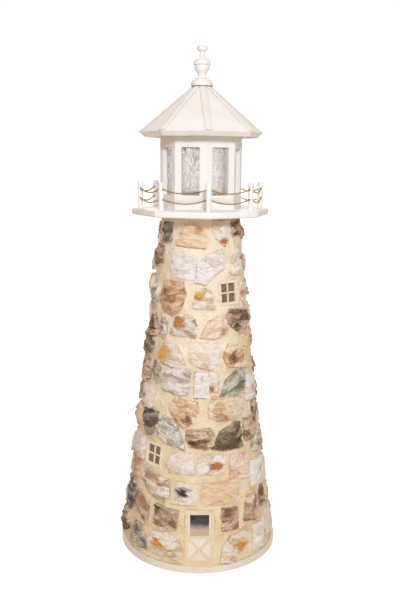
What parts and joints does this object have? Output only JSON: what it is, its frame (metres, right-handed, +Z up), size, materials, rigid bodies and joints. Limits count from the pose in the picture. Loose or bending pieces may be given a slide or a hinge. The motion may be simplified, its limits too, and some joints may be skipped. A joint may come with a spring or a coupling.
{
  "type": "garden lighthouse ornament",
  "caption": "Tapered hollow fieldstone garden lighthouse on a round plate, with a board gallery railed by chains, a glazed octagonal lantern room, a hipped roof and a turned finial.",
  "frame": {"origin": "centre of the base plate's underside", "axes": "+Z up, door faces -Y, +X to the right of a person looking at the door"},
  "size_m": [0.4899, 0.49, 1.5211],
  "materials": {
    "mortar": "rough",
    "white_board": "satin paint",
    "cream_trim": "matt paint",
    "chain_brass": "satin",
    "clear_pane": "clear",
    "lantern_glass": "hammered clear"
  },
  "bodies": {
    "root": {"base_plate": "white_board", "tower_wall_front_left": "mortar", "tower_wall_front": "mortar", "tower_wall_front_right": "mortar", "tower_wall_right": "mortar", "tower_wall_back": "mortar", "tower_wall_left": "mortar", "upper_window_frame": "cream_trim", "upper_window_pane": "clear_pane", "lower_window_frame": "cream_trim", "lower_window_pane": "clear_pane", "door_casing": "cream_trim", "door_leaf": "white_board", "door_crossbuck": "cream_trim", "door_pane": "clear_pane", "gallery_deck": "white_board", "rail_post_1": "white_board", "rail_post_2": "white_board", "rail_post_3": "white_board", "rail_post_4": "white_board", "rail_post_5": "white_board", "rail_post_6": "white_board", "rail_post_7": "white_board", "rail_post_8": "white_board", "upper_rail_chain": "chain_brass", "lower_rail_chain": "chain_brass", "lantern_panel_1": "white_board", "lantern_panel_2": "white_board", "lantern_panel_3": "white_board", "lantern_panel_4": "white_board", "lantern_panel_5": "white_board", "lantern_panel_6": "white_board", "lantern_panel_7": "white_board", "lantern_panel_8": "white_board", "lantern_panes": "lantern_glass", "roof_panel_1": "white_board", "roof_panel_2": "white_board", "roof_panel_3": "white_board", "roof_panel_4": "white_board", "roof_panel_5": "white_board", "roof_panel_6": "white_board", "roof_panel_7": "white_board", "roof_panel_8": "white_board", "roof_hip_strips": "white_board", "roof_finial": "white_board"}
  },
  "joints": []
}
